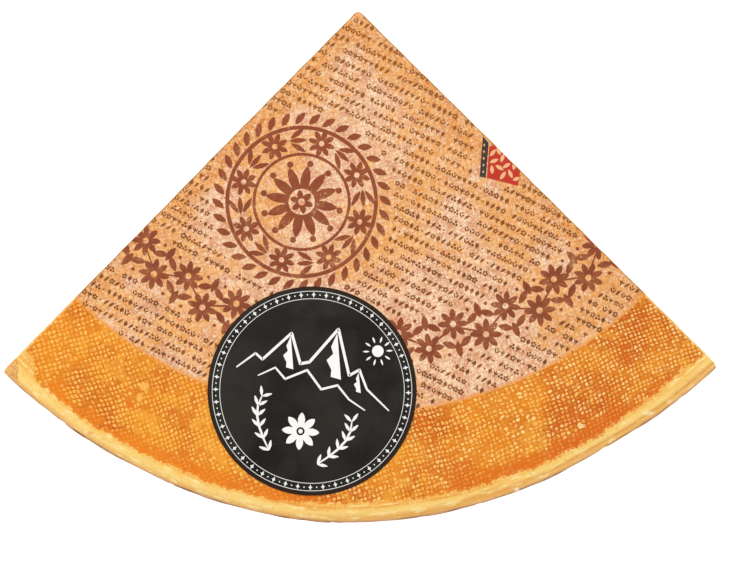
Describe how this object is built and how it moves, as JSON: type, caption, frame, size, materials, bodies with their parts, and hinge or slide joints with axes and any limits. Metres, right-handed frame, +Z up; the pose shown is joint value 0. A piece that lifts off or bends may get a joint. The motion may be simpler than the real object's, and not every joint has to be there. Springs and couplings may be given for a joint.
{
  "type": "quarter wheel of alpine cheese",
  "caption": "Quarter wheel of hard alpine cheese lying flat, with a cloth-marked rind, two cut faces, a printed sheet in its top face and a round paper sticker.",
  "frame": {"origin": "middle of the underside's bounding box, on the surface that the wedge lies on", "axes": "+Z up through the wheel's height, +Y towards the wedge's pointed tip, +X to the right seen from the curved heel, along the wedge's widest reach"},
  "size_m": [0.343, 0.245, 0.0923],
  "materials": {
    "rind": "cloth-marked washed rind, satin",
    "paste": "cut cheese, satin",
    "printed_sheet": "thin paper stained by the rind, matt",
    "sheet_ink": "worn brown-red ink, matt",
    "round_sticker": "black coated paper, satin",
    "sticker_ink": "white ink, satin"
  },
  "bodies": {
    "root": {"cheese": "rind", "printed_sheet": "printed_sheet", "round_sticker": "round_sticker"}
  },
  "joints": []
}
